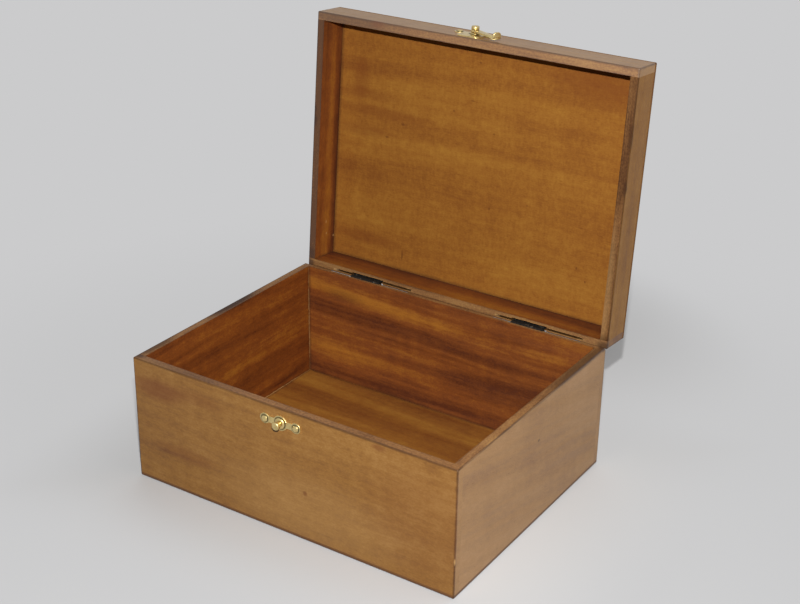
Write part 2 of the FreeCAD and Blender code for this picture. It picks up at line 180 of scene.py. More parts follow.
class ClaspSizes(bpy.types.PropertyGroup):
    """Sizes of the swing-hook clasp."""

    plate_thick: length("Plate thickness", "Thickness of both plates", 0.8)
    plate_round: length("Plate edge", "Rounding of the plates' upper edges", 0.5)
    lobe_radius: length("Lobe radius", "Round ends of the plates", 4.4)
    lobe_spacing: length("Lobe spacing", "From the middle of a plate to a nail", 14.4)
    bar: length("Bar", "Width of the plates between middle and lobe", 5.6)
    disc_radius: length("Disc radius", "Round middle of the plates", 6.2)
    tongue_width: length("Tongue width", "Tab of the hook's plate towards the rim", 21)
    tongue_length: length("Tongue length", "From the hook's pivot to the end of the tab", 14)
    tongue_round: length("Tongue corners", "Rounding of the tab's corners", 4)
    nail_head: length("Nail head", "Radius of the nails' domed heads", 2.8)
    nail_rise: length("Nail rise", "Height of the nails' heads above a plate", 1.2)
    nail_shank: length("Nail shank", "Radius of the nails", 0.6)
    nail_length: length("Nail length", "Depth of the nails in the wood", 5)
    collar_radius: length("Collar radius", "Turned collar below the hook", 4.6)
    collar_height: length("Collar height", "Height of the collar above its plate", 1.5)
    neck_radius: length("Neck radius", "Groove that the hook turns or seats in", 1.8)
    groove: length("Groove", "Height of the groove for the hook", 2.0)
    knob_radius: length("Knob radius", "Rounded head above the groove", 3.3)
    knob_height: length("Knob height", "Height of the rounded head", 2.9)
    hook_thick: length("Hook thickness", "Thickness of the hook's sheet", 1.6)
    hook_edge: length("Hook edge", "Rounding of the hook's upper edges", 0.6)
    hook_eye: length("Hook eye", "Outer radius of the eye on the rivet", 3.8)
    hook_arm: length("Hook arm", "Width of the arm", 6.2)
    hook_end: length("Hook end", "Outer radius of the end that takes the stud", 5.2)
    hook_play: length("Hook play", "Clearance of the notch round the stud", 0.3)
    hook_bend: length("Hook bend", "Height of the arm's bend above the stud", 10.5)
    tab_width: length("Tab width", "Width of the finger tab at the hook's end", 7.4)
    tab_rise: length("Tab rise", "Height of the finger tab above the hook", 4.2)
    tab_round: length("Tab corners", "Rounding of the finger tab's corners", 2.8)


class BoxStage(bpy.types.PropertyGroup):
    """Camera, light and floor."""

    camera_place: position("Camera", "Where the camera stands", (0.58567, -0.86280, 0.63955))
    camera_turn: angle("Camera turn", "Turn of the view to the box's right side", 32.98)
    camera_fall: angle("Camera fall", "Downward tilt of the view", 25.05)
    camera_roll: angle("Camera roll", "Roll of the picture", 0.82)
    camera_lens: bpy.props.FloatProperty(
        name="Lens", description="Focal length in millimetres", default=65.99, unit="CAMERA"
    )
    key_rise: length("Key rise", "Height of the main lamp above the camera", 118)
    key_aside: length("Key shift", "Shift of the main lamp to the camera's right", 7)
    key_size: length("Key size", "Width of the main lamp", 20)
    key_power: bpy.props.FloatProperty(
        name="Key power", description="Power of the main lamp in watts", default=17, unit="POWER"
    )
    room_front: share("Room, front", "Brightness of the room before the box", 0.02)
    room_back: share("Room, back", "Brightness of the room behind the box", 0.82)
    floor: colour("Floor", "Pale floor", "cacaca")
    bounce: colour("Bounce", "Floor as the box sees it in soft light", "4a4a4a")
    backdrop: colour("Backdrop", "How the floor looks away from shadows", "cbcbcc")
    floor_plain: share("Plain floor", "How much the backdrop's colour shows beside the box", 0.75)
    shade: share("Shade", "How much of the lid's shadow on the floor shows behind the box", 0.85)
    shade_place: position("Shade place", "Middle of the lid's shadow on the floor", (-0.05, 0.3, 0))
    shade_size: position("Shade size", "Radii of the lid's shadow on the floor", (0.28, 0.22, 0.1))


# Shader maths

class Socket:
    """A shader socket. Arithmetic on it adds Math nodes to its material."""

    def __init__(self, paint, socket):
        self.paint = paint
        self.socket = socket

    def math(self, operation, *values):
        return self.paint.node("ShaderNodeMath", {"operation": operation}, dict(enumerate(values)))

    def __add__(self, other):
        return self.math("ADD", self, other)

    def __sub__(self, other):
        return self.math("SUBTRACT", self, other)

    def __rsub__(self, other):
        return self.math("SUBTRACT", other, self)

    def __mul__(self, other):
        return self.math("MULTIPLY", self, other)

    def __abs__(self):
        return self.math("ABSOLUTE", self)

    __radd__ = __add__
    __rmul__ = __mul__

    def least(self, other):
        return self.math("MINIMUM", self, other)

    def most(self, other):
        return self.math("MAXIMUM", self, other)

    def step(self, low, high):
        """0 below low, 1 above high and a smooth rise between them."""
        settings = {"interpolation_type": "SMOOTHSTEP"}
        return self.paint.node("ShaderNodeMapRange", settings, {"Value": self, 1: low, 2: high})


# Share of a spot's radius from which it fades
SPOT_CORE = 0.3


class Paint:
    """The nodes of one material or world."""

    def __init__(self, owner):
        owner.use_nodes = True
        self.owner = owner
        self.tree = owner.node_tree

    def feed(self, socket, value):
        """Link a socket, or set its value."""
        if isinstance(value, Socket):
            self.tree.links.new(value.socket, socket)
        else:
            socket.default_value = value

    def node(self, kind, settings, inputs, output=0):
        """Add a node, set it up, then set or link its inputs."""
        made = self.tree.nodes.new(kind)
        for name, value in settings.items():
            setattr(made, name, value)
        for key, value in inputs.items():
            self.feed(made.inputs[key], value)
        return Socket(self, made.outputs[output])

    def other(self, socket, output):
        """Another output of the node that a socket belongs to."""
        return Socket(self, socket.socket.node.outputs[output])

    def seen(self):
        """1 for rays from the camera, straight or by way of gloss or glass, and 0 for soft light."""
        ray = self.node("ShaderNodeLightPath", {}, {}, "Is Camera Ray")
        return (ray + self.other(ray, "Is Glossy Ray") + self.other(ray, "Is Transmission Ray")).least(1)

    def surface(self, **inputs):
        """Set or link the shader's own sockets, named with _ for a space."""
        shader = self.tree.nodes["Principled BSDF"]
        for name, value in inputs.items():
            self.feed(shader.inputs[name.replace("_", " ")], value)

    def place(self, lid):
        """The point on the piece in the upright frame, with the lid shut where it belongs to the lid."""
        point = self.node("ShaderNodeTexCoord", {}, {}, "Object")
        if lid:
            turn = {"Vector": point, "Location": SHUT_LID.translation, "Rotation": SHUT_LID.to_euler()}
            point = self.node("ShaderNodeMapping", {}, turn)
        return point

    def split(self, vector):
        """The three parts of a vector."""
        x = self.node("ShaderNodeSeparateXYZ", {}, {"Vector": vector})
        return x, self.other(x, 1), self.other(x, 2)

    def vector(self, x, y, z):
        return self.node("ShaderNodeCombineXYZ", {}, {0: x, 1: y, 2: z})

    def vectors(self, operation, first, second, output=0):
        return self.node("ShaderNodeVectorMath", {"operation": operation}, {0: first, 1: second}, output)

    def noise(self, vector, detail=2.0, scale=1.0):
        """Soft noise about zero."""
        inputs = {"Vector": vector, "Scale": scale, "Detail": detail}
        return self.node("ShaderNodeTexNoise", {}, inputs) - 0.5

    def mix(self, factor, first, second):
        """The first colour, and the second where the factor is 1."""
        return self.node("ShaderNodeMix", {"data_type": "RGBA"}, {0: factor, 6: first, 7: second}, 2)

    def shades(self, tone, dark, mid, light):
        """Dark at tone 0, mid at 0.5 and light at 1."""
        lower = self.mix((tone * 2).least(1), rgba(dark), rgba(mid))
        return self.mix((tone * 2 - 1).most(0), lower, rgba(light))

    def spot(self, point, centre, radii):
        """1 in the middle of an ellipsoid and 0 outside it."""
        inverse = tuple(1 / radius for radius in radii)
        scaled = self.vectors("MULTIPLY", point, inverse)
        middle = tuple(place * by for place, by in zip(centre, inverse))
        return 1 - self.vectors("DISTANCE", scaled, middle, "Value").step(SPOT_CORE, 1)

    def bump(self, height, strength, distance):
        inputs = {"Height": height, "Strength": strength, "Distance": distance}
        return self.node("ShaderNodeBump", {}, inputs)


def rgba(value):
    return (*value, 1)


def material(name):
    return Paint(bpy.data.materials.new(name))


# Stained wood

class Mark(NamedTuple):
    """A stain or chip: its colour, its middle and radii in millimetres, and how strongly it shows."""

    stain: str
    centre: tuple
    radii: tuple
    strength: float


class Board(NamedTuple):
    """How one board is sawn and stained.

    The shifts lighten or darken a finish: shift on the outer faces, ends on the board's ends, rim_shift on
    its rim and inner_shift inside. The field deep_shade darkens the inside towards the floor or the lid's
    panel with painted shade. Bands, inner_bands and flecks scale the grain, and slope slants it. Sheen is
    the shader's specular level, and rough the roughness of the outer faces.
    """

    grain: str
    seed: float
    lid: bool = False
    flat: bool = False
    face: str = "face"
    end_face: str = "face"
    inside: str = "inner"
    shift: float = 0.0
    rim_shift: float = 0.0
    bands: float = 1.0
    inner_bands: float = 1.0
    slope: float = 0.0
    inner_shift: float = 0.0
    deep_shade: float = 0.0
    flecks: float = 0.0
    ends: float = 0.0
    sheen: float = 0.5
    rough: float = 0.4
    marks: tuple = ()


FRONT_MARKS = (
    Mark("raw", (20, -115, 26), (120, 4, 46), 0.16),
    Mark("russet", (-126, -115, 86), (36, 4, 13), 0.6),
    Mark("russet", (-88, -115, 90), (40, 4, 9), 0.3),
    Mark("russet", (-98, -115, 36), (45, 4, 9), 0.3),
    Mark("arris", (-112, -112, 108), (62, 6, 3), 0.3),
    Mark("russet", (84, -115, 104), (9, 4, 4), 0.5),
    Mark("russet", (18, -115, 42), (3, 4, 3), 0.6),
    # A broad mark that darkens the right end of the front
    Mark("russet", (125, -115, 55), (75, 4, 70), 0.22),
    Mark("arris", (-148, -108, 108), (8, 9, 3), 0.8),
    Mark("raw", (150, -115, 32), (1.6, 1.6, 4), 0.7),
)
LEFT_MARKS = (
    Mark("arris", (-148, 6, 108), (8, 46, 4), 0.95),
    Mark("arris", (-148, -90, 108), (7, 32, 4), 0.7),
    Mark("raw", (-143, 108, 55), (1.8, 1.4, 70), 0.55),
    Mark("raw", (-143, 30, 3), (1.8, 110, 1.2), 0.6),
)
RIGHT_MARKS = (
    Mark("arris", (150, 5, 74), (4, 2.6, 1.6), 0.6),
    Mark("arris", (148, 74, 108), (9, 70, 4), 0.7),
)
BACK_MARKS = (
    Mark("arris", (149, 111, 108), (6, 6, 4), 0.8),
    Mark("arris", (-105, 108, 88), (30, 4, 8), 0.25),
)
LID_FRONT_MARKS = (
    Mark("arris", (-130, -113, 108.3), (90, 7, 3), 0.45),
    Mark("russet", (-88, -113, 108.3), (10, 5, 3), 0.35),
)
LID_LEFT_MARKS = (
    Mark("arris", (-149, -30, 108.3), (3, 5, 3), 0.8),
    Mark("arris", (-149, -20, 108.3), (3.5, 9, 3), 0.8),
    Mark("arris", (-147, 104, 108.3), (6, 9, 3), 0.6),
    Mark("raw", (-143, 75.9, 123.6), (2, 2.2, 0.9), 0.7),
    Mark("raw", (-143, 87.5, 124.4), (2, 1.6, 1), 0.7),
    Mark("raw", (-143, 91.8, 135.6), (2, 1.4, 1.2), 0.7),
)
LID_RIGHT_MARKS = (
    Mark("raw", (144, 72, 108.3), (6, 84, 3), 0.25),
    Mark("arris", (146, -90, 108.3), (8, 42, 3), 0.35),
    Mark("arris", (146, -28, 108.3), (7, 40, 3), 0.4),
    Mark("arris", (149, -60, 108.3), (3, 14, 4), 0.6),
    Mark("arris", (149, -20, 108.3), (2.5, 9, 4), 0.6),
    Mark("arris", (148, 110, 108.3), (9, 10, 5), 0.6),
)
LID_BACK_MARKS = (
    Mark("raw", (-118, 112.1, 108.3), (5, 1.5, 3), 0.8),
    Mark("raw", (-42, 112.1, 108.3), (5, 1.5, 3), 0.8),
    Mark("raw", (49, 112.1, 108.3), (5, 1.5, 3), 0.8),
    Mark("raw", (125, 112.1, 108.3), (5, 1.5, 3), 0.8),
    Mark("arris", (-148, 112, 108.3), (6, 6, 4), 0.7),
    Mark("arris", (148, 113, 108.3), (11, 6, 5), 0.75),
)
PANEL_MARKS = (
    Mark("russet", (118, -96, 136.8), (80, 34, 3), 0.48),
    Mark("russet", (-121, -58, 136.8), (12, 26, 3), 0.42),
    Mark("russet", (-114, -45, 136.8), (46, 7, 3), 0.36),
    Mark("russet", (-96, -31, 136.8), (64, 7, 3), 0.38),
    Mark("russet", (-116, -12, 136.8), (42, 8, 3), 0.36),
    Mark("russet", (-110, 86, 136.8), (46, 7, 3), 0.34),
    Mark("inner_dark", (-68.2, 94, 136.8), (1.3, 6, 3), 0.6),
    Mark("inner_dark", (14.6, -32.6, 136.8), (1.3, 1, 3), 0.48),
    Mark("inner_dark", (-91.2, -10.5, 136.8), (2.5, 1.4, 3), 0.48),
    Mark("inner_dark", (15.8, 31.8, 136.8), (1, 1.9, 3), 0.56),
    Mark("inner_dark", (102.5, 64.6, 136.8), (1.1, 1.9, 3), 0.6),
    Mark("inner_dark", (111.2, 74.8, 136.8), (1, 1.7, 3), 0.6),
    Mark("inner_dark", (51.4, 21.3, 136.8), (1.2, 1.2, 3), 0.4),
    Mark("inner_dark", (-3.2, -90.3, 136.8), (1.4, 1.2, 3), 0.48),
    Mark("inner_dark", (-7.9, -57.4, 136.8), (2.7, 1.2, 3), 0.4),
    Mark("inner_dark", (-25.5, -45.7, 136.8), (1.5, 1.2, 3), 0.48),
    Mark("inner_dark", (-75.4, -24.3, 136.8), (2.9, 1.4, 3), 0.56),
)

# Boards in the side finish carry part of the sides' sheen painted into their colour
BOARDS = {
    "front_wall": Board(
        "x", 1.7, end_face="side", bands=0.8, rim_shift=-0.1, sheen=0.4, marks=FRONT_MARKS
    ),
    "back_wall": Board("x", 5.2, end_face="side", inner_bands=1.2, inner_shift=-0.1, marks=BACK_MARKS),
    "left_wall": Board(
        "y", 9.1, face="side", end_face="side", inner_shift=-0.1, sheen=0.25, marks=LEFT_MARKS
    ),
    "right_wall": Board(
        "y", 13.4, face="side", end_face="side", slope=0.22, bands=1.6, rim_shift=0.05, marks=RIGHT_MARKS
    ),
    "base_panel": Board("x", 17.3, flat=True, shift=-0.8, inside="panel", inner_shift=-0.05),
    # The lid's front rail is lightened by its shift, which paints in part of the sheen its top shows with
    # the lid open
    "lid_front_rail": Board(
        "x", 21.9, lid=True, shift=0.2, rim_shift=0.05, sheen=1.0, marks=LID_FRONT_MARKS
    ),
    "lid_back_rail": Board(
        "x", 25.6, lid=True, rim_shift=0.05, inner_shift=-0.12, ends=-0.4, deep_shade=0.25, marks=LID_BACK_MARKS
    ),
    "lid_left_rail": Board("y", 29.8, lid=True, rim_shift=-0.55, deep_shade=0.4, marks=LID_LEFT_MARKS),
    "lid_right_rail": Board("y", 33.5, lid=True, rim_shift=-0.25, sheen=0.15, marks=LID_RIGHT_MARKS),
    "lid_panel": Board(
        "x", 37.1, lid=True, flat=True, inside="panel", bands=0.8, inner_bands=0.5, flecks=1.1, ends=-0.25,
        sheen=0.2, rough=0.66, marks=PANEL_MARKS,
    ),
}


# Weights with which noises lighten a finish, move the stain's edges, roughen the surface and raise it
MID_TONE = 0.5
OUTER_BANDS = 0.7
OUTER_STREAKS = 0.45
INNER_GRAIN = {"bands": 1.9, "streaks": 0.55}
RIM_GRAIN = {"speckle": 0.9, "fibre": 0.6, "blotch": 0.8, "streaks": 0.7}
SOFT = {"blotch": 0.4, "ripple": 0.3, "fibre": 0.3, "mottle": 0.45, "speckle": 0.5, "flecks": 0.4}
UNEVEN = {"streaks": 1.2 * MM, "blotch": 1.6 * MM}
ROUGHENED = {"streaks": 0.25, "pores": 0.15}
SAWN_ROUGH = 0.15
RELIEF = {"fibre": 0.5, "streaks": 0.5, "pores": -0.6}
WOOD_BUMP = (0.2, 0.3 * MM)

# How strongly painted shade in the cuts and inner corners, pores and gathered stain darken the wood
DARKENED = {"cut": 0.8, "nook_shade": 0.45, "arris": 0.75, "rim_edge": 0.55}
ARRIS_BLOTCH = 1.2
PORES_DARK = 0.25

# Where gathered stain along the arrises and the rim's inner edge, and painted shade in the inner corners
# and deep inside, start to fade, and where they end
SKIN = 0.2 * MM
ARRIS_FADE = (0.2 * MM, 1.9 * MM)
RIM_EDGE_FADE = (0.1 * MM, 1.1 * MM)
NOOK_FADE = (0.0, 3.2 * MM)
DEEP_FADE = (2 * MM, 12 * MM)

# How far bands and streaks waver, and the noise from which a pore sets in and is full
WAVER = 14 * MM
PORE_NOISE = (0.16, 0.3)

# How far the edges of marks are ragged, and the noise that does it
SMEAR = 1.6 * MM
SMEAR_SCALE = 190.0


class Figure(NamedTuple):
    """Noises of a board, from broad bands along the grain to pores and specks."""

    bands: Socket
    streaks: Socket
    fibre: Socket
    blotch: Socket
    ripple: Socket
    speckle: Socket
    mottle: Socket
    flecks: Socket
    pores: Socket

    def weigh(self, weights):
        """Sum of some of the noises, each with its weight."""
        return sum(getattr(self, name) * weight for name, weight in weights.items())


class Zones(NamedTuple):
    """Masks of a board's faces; of its cuts, inner corners and depths, which carry painted shade; and of
    the places where stain gathered.
    """

    inside: Socket
    rim: Socket
    end: Socket
    cut: Socket
    arris: Socket
    rim_edge: Socket
    nook_shade: Socket
    deep_shade: Socket


def figure(paint, board, x, y, z):
    """Noises stretched along the grain. The bands and streaks waver."""
    along, side = (x, y) if board.grain == "x" else (y, x)
    across, depth = (side, z) if board.flat else (z, side)

    def grain(long, wide, detail=2.0, waver=0.0):
        """Noise with so many waves a metre along and across the grain."""
        shifted = across + along * board.slope + waver
        vector = paint.vector(along * long + board.seed, shifted * wide + board.seed, depth * wide)
        return paint.noise(vector, detail)

    waver = grain(5, 11) * WAVER
    return Figure(
        bands=grain(3.2, 48, 3, waver),
        streaks=grain(9, 230, 3, waver),
        fibre=grain(90, 1900),
        blotch=grain(16, 26),
        ripple=grain(70, 16),
        speckle=grain(520, 760),
        mottle=grain(130, 240, 4),
        flecks=grain(380, 140, 3) * board.flecks,
        pores=grain(150, 1300, 1).step(*PORE_NOISE),
    )


def zones(board, x, y, z, uneven):
    """Masks from how far a point lies from the box's planes, with uneven edges to the stain."""
    beyond = (abs(x) - INNER_X).most(abs(y) - INNER_Y)
    above = z.step(BASE_TOP - SKIN, BASE_TOP - SKIN / 2)
    below = 1 - z.step(PANEL_FACE + SKIN / 2, PANEL_FACE + SKIN)
    inside = (1 - beyond.step(0, SKIN)) * above * below
    if board.lid:
        from_rim, from_far, from_floor = z - LID_RIM, LID_TOP - z, PANEL_FACE - z
    else:
        from_rim, from_far, from_floor = RIM - z, z, z - BASE_TOP
    rim = (1 - from_rim.step(SKIN / 2, SKIN)) * (1 - inside)
    from_x = HALF_WIDTH - abs(x)
    from_y = HALF_DEPTH - abs(y)
    from_z = from_rim.least(from_far)
    # Painted shade inside the kerfs, pockets and holes, away from every face
    cut = from_rim.step(SKIN, 2 * SKIN) * from_x.least(from_y).step(SKIN, 2 * SKIN)
    arris = from_x.most(from_y).least(from_x.most(from_z)).least(from_y.most(from_z))
    rim_edge = abs(beyond).most(from_rim)
    # Painted shade in the inner corners, where walls meet each other and the floor or the panel
    upright = abs(abs(x) - INNER_X).most(abs(abs(y) - INNER_Y))
    nook_shade = abs(beyond).most(abs(from_floor)).least(upright)
    return Zones(
        inside=inside,
        rim=rim,
        end=abs(x).step(HALF_WIDTH - SKIN, HALF_WIDTH - SKIN / 2),
        cut=cut * beyond.step(SKIN, 2 * SKIN) * from_floor.step(SKIN, 2 * SKIN),
        arris=1 - (arris + uneven).step(*ARRIS_FADE),
        rim_edge=(1 - (rim_edge + uneven).step(*RIM_EDGE_FADE)) * rim,
        nook_shade=(1 - (nook_shade + uneven).step(*NOOK_FADE)) * inside,
        # Painted shade deeper inside, towards the floor or the lid's panel
        deep_shade=1 - (from_floor + uneven * 2).step(*DEEP_FADE),
    )


def stained(paint, board, stain, noise, zone):
    """Colour of a board: the finish of each zone, and over it painted shade in the cuts and inner corners,
    pores and gathered stain.
    """
    soft = noise.weigh(SOFT)
    tone = MID_TONE + board.shift + soft + zone.end * board.ends
    tone = tone + noise.bands * (OUTER_BANDS * board.bands) + noise.streaks * OUTER_STREAKS
    # Painted shade darkens the inside towards the floor or the panel
    inner_tone = MID_TONE + board.inner_shift + soft - zone.deep_shade * board.deep_shade
    inner_tone = inner_tone + noise.weigh(INNER_GRAIN) * board.inner_bands
    rim_tone = MID_TONE + board.rim_shift + noise.weigh(RIM_GRAIN)

    def finish(tone, name):
        colours = (getattr(stain, f"{name}_{depth}") for depth in ("dark", "mid", "light"))
        return paint.shades(tone, *colours)

    outer = paint.mix(zone.end, finish(tone, board.face), finish(tone, board.end_face))
    shade = paint.mix(zone.inside, outer, finish(inner_tone, board.inside))
    shade = paint.mix(zone.rim, shade, finish(rim_tone, "rim"))
    # Painted shade inside the cuts
    shade = paint.mix(zone.cut * DARKENED["cut"], shade, rgba(stain.arris))
    shade = paint.mix(noise.pores * PORES_DARK, shade, rgba(stain.inner_dark))
    # Painted shade in the inner corners
    shade = paint.mix(zone.nook_shade * DARKENED["nook_shade"], shade, rgba(stain.arris))
    gathered = zone.arris * (DARKENED["arris"] + noise.blotch * ARRIS_BLOTCH)
    shade = paint.mix(gathered, shade, rgba(stain.arris))
    return paint.mix(zone.rim_edge * DARKENED["rim_edge"], shade, rgba(stain.arris))


def marked(paint, board, stain, point, shade):
    """A colour with the board's marks over it, their edges made ragged by noise."""
    rough = paint.node("ShaderNodeTexNoise", {}, {"Vector": point, "Scale": SMEAR_SCALE}, "Color")
    ragged = paint.vectors("ADD", point, paint.vectors("MULTIPLY", rough, (SMEAR,) * 3))
    for mark in board.marks:
        centre = tuple(place * MM + SMEAR / 2 for place in mark.centre)
        amount = paint.spot(ragged, centre, tuple(radius * MM for radius in mark.radii))
        shade = paint.mix(amount * mark.strength, shade, rgba(getattr(stain, mark.stain)))
    return shade


def wood(name, board, stain):
    """Stained board: grain, stain gathered on arrises and in corners, and marks."""
    paint = material(f"{name}_wood")
    point = paint.place(board.lid)
    x, y, z = paint.split(point)
    noise = figure(paint, board, x, y, z)
    zone = zones(board, x, y, z, noise.weigh(UNEVEN))
    shade = stained(paint, board, stain, noise, zone)
    paint.surface(
        Base_Color=marked(paint, board, stain, point, shade),
        Specular_IOR_Level=board.sheen,
        Roughness=board.rough + (zone.rim + zone.inside) * SAWN_ROUGH + noise.weigh(ROUGHENED),
        Normal=paint.bump(noise.weigh(RELIEF), *WOOD_BUMP),
    )
    return paint.owner


# Metals

# Painted shade round the nails and posts lies up to so far in front of the wood, and so far from a nail's
# or post's edge
CREVICE_SHADE_RISE = (-1.4 * MM, -1.1 * MM)
CREVICE_SHADE_FADE = (0.2 * MM, 1.4 * MM)
CREVICE_SHADE_SHOWS = 0.75
DULL_SHOWS = 0.55

# Noise from which brass turns dull and hinge metal is rubbed bright, and from which it is wholly so
DULL_NOISE = (-0.05, 0.25)
RUBBED_NOISE = (0.08, 0.2)

# Strength and height of the fine unevenness
BRASS_BUMP = (0.08, 0.1 * MM)
IRON_BUMP = (0.15, 0.1 * MM)


def brass(name, metal, lid, rings):
    """Plated brass: bright and lacquered, with dull patches and rings of painted shade at the nails and
    posts.
    """
    paint = material(name)
    point = paint.place(lid)
    x, y, z = paint.split(point)
    flat = paint.vector(x, 0.0, z)
    near_plate = (y + HALF_DEPTH).step(*CREVICE_SHADE_RISE)
    dull = paint.noise(point, detail=3, scale=260).step(*DULL_NOISE)
    fine = paint.noise(point, detail=2, scale=4200)
    crevice_shade = 0.0
    for centre_x, centre_z, radius in rings:
        away = paint.vectors("DISTANCE", flat, (centre_x, 0, centre_z), "Value")
        crevice_shade = (1 - abs(away - radius).step(*CREVICE_SHADE_FADE)).most(crevice_shade)
    shade = paint.mix(dull * DULL_SHOWS, rgba(metal.brass), rgba(metal.brass_dull))
    # Painted shade in rings round the nails and the post, near the plate
    shade = paint.mix(crevice_shade * near_plate * CREVICE_SHADE_SHOWS, shade, rgba(metal.crevice_shade))
    paint.surface(
        Base_Color=shade,
        Metallic=1.0,
        Roughness=0.36 + dull * 0.14 + fine * 0.1,
        Coat_Weight=0.3,
        Coat_Roughness=0.12,
        Normal=paint.bump(fine, *BRASS_BUMP),
    )
    return paint.owner


def iron(metal):
    """Blackened hinge metal, rubbed bright in spots."""
    paint = material("black_hinge_metal")
    point = paint.place(False)
    rubbed = paint.noise(point, detail=3, scale=420).step(*RUBBED_NOISE)
    fine = paint.noise(point, detail=2, scale=2600)
    paint.surface(
        Base_Color=paint.mix(rubbed, rgba(metal.iron), rgba(metal.iron_worn)),
        Metallic=0.3,
        Specular_IOR_Level=0.25,
        Roughness=0.66 - rubbed * 0.2 + fine * 0.2,
        Normal=paint.bump(fine, *IRON_BUMP),
    )
    return paint.owner


def assign(node, finish):
    """Give a CAD node's slots one material."""
    for slot in frame["nodes"][node].material_slots:
        slot.material = finish


# Surfaces worked out as grids of points

# Points closer than this are one, and edges sharper than this stay sharp
MERGE = 0.001 * MM
SHARP = math.radians(38)


def on_front(across, rise, out):
    """Points on the front face: to the right, up, and out of the face, in the upright frame."""
    return np.stack(np.broadcast_arrays(across, -HALF_DEPTH - out, rise), axis=-1)


def arc(centre, radii, start, end, count):
    """Points of an ellipse's arc between two angles in degrees."""
    turn = np.radians(np.linspace(start, end, count))
    return np.stack([centre[0] + radii[0] * np.cos(turn), centre[1] + radii[1] * np.sin(turn)], axis=-1)


def rise_from(values, low, high):
    """0 below low, 1 above high and a smooth rise between them."""
    part = np.clip((values - low) / (high - low), 0, 1)
    return part ** 2 * (3 - 2 * part)


def grid_faces(rows, columns):
    """Quads of a grid that closes on itself along its columns."""
    index = np.arange(rows * columns).reshape(rows, columns)
    after = np.roll(index, -1, axis=1)
    return np.stack([index[:-1], after[:-1], after[1:], index[1:]], axis=-1).reshape(-1, 4)


def turned(profile, across, rise, lean=0.0, steps=48):
    """A lathe surface: profile points (radius, height) swept round an axis that stands out of the face.

    With a lean, the height grows by that share of the way up the face.
    """
    swing = np.linspace(0, 2 * np.pi, steps, endpoint=False)
    radius, out = profile[:, :1], profile[:, 1:]
    up = radius * np.sin(swing)
    return on_front(across + radius * np.cos(swing), rise + up, out + lean * up)


def slab_section(edge_round, thick, count=7):
    """A flat-bottomed sheet's section with rounded upper edges.

    Each row holds the side it is on, how far it lies inside that side's outline, and its height.
    """
    rounded = arc((edge_round, thick - edge_round), (edge_round, edge_round), 180, 90, count)
    half = np.concatenate([[(0, 0)], rounded])
    right = np.column_stack([np.ones(len(half)), half])
    left = np.column_stack([-np.ones(len(half)), half])[::-1]
    return np.concatenate([right, left])


def strip(middle, normal, half, base, section):
    """A flat strip: the section is laid across a middle line on the front face.

    Each point is middle + normal * side * (half width - inset), at the section's height above the base.
    """
    side, inset, out = section.T
    half = half[:, None]
    reach = side * (half - np.minimum(inset, half))
    across = middle[:, :1] + normal[:, :1] * reach
    rise = middle[:, 1:] + normal[:, 1:] * reach
    return on_front(across, rise, base + out)


def add_piece(name, grids, finish, body, replaced):
    """One brass object from several closed grids, facing outwards, on a body in place of a CAD node."""
    start = 0
    points, faces = [], []
    for grid in grids:
        rows, columns = grid.shape[:2]
        points.append(grid.reshape(-1, 3))
        faces.append(grid_faces(rows, columns) + start)
        start += rows * columns
    mesh = bpy.data.meshes.new(name)
    mesh.from_pydata(np.concatenate(points).tolist(), [], np.concatenate(faces).tolist())
    shell = bmesh.new()
    shell.from_mesh(mesh)
    bmesh.ops.remove_doubles(shell, verts=shell.verts, dist=MERGE)
    bmesh.ops.holes_fill(shell, edges=[edge for edge in shell.edges if edge.is_boundary], sides=0)
    bmesh.ops.recalc_face_normals(shell, faces=shell.faces)
    shell.to_mesh(mesh)
    shell.free()
    mesh.shade_smooth()
    mesh.set_sharp_from_angle(angle=SHARP)
    mesh.materials.append(finish)
    piece = bpy.data.objects.new(name, mesh)
    bpy.context.scene.collection.objects.link(piece)
    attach(piece, body)
    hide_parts(replaced)


# Clasp

# Power with which outlines blend into each other, and with which the bar ends at the lobes
BLEND = 5
BAR_END = 8

# Points along the clasp's curves
PLATE_POINTS = 160
EYE_POINTS = 40
ARM_POINTS = 24
BEND_POINTS = 32
RING_POINTS = 90
TAB_POINTS = 26

# Degrees between which the hook goes round the stud, from its right over its underside
RING_FROM = 35
RING_TO = -160

# The arm narrows from so many bends above the stud
NARROWING = 1.4

# In sheet thicknesses: the tab's own, how far it starts inside the hook's end, and how far it leans out
TAB_THIN = 0.8
TAB_INSET = 1.25
TAB_LEAN = 0.25

# How far the left and right nail of each plate lean
CATCH_LEANS = (-0.16, -0.1)
HOOK_LEANS = (-0.08, -0.14)


def plate_outline(across, sizes):
    """Half height of a two-lobed plate: the power mean of its disc, bar and lobes."""
    reach = np.abs(across)
    disc = np.sqrt(np.clip(sizes.disc_radius ** 2 - reach ** 2, 0, None))
    lobe = np.sqrt(np.clip(sizes.lobe_radius ** 2 - (reach - sizes.lobe_spacing) ** 2, 0, None))
    bar = sizes.bar / 2 * np.sqrt(np.clip(1 - (reach / sizes.lobe_spacing) ** BAR_END, 0, None))
    return (disc ** BLEND + lobe ** BLEND + bar ** BLEND) ** (1 / BLEND)


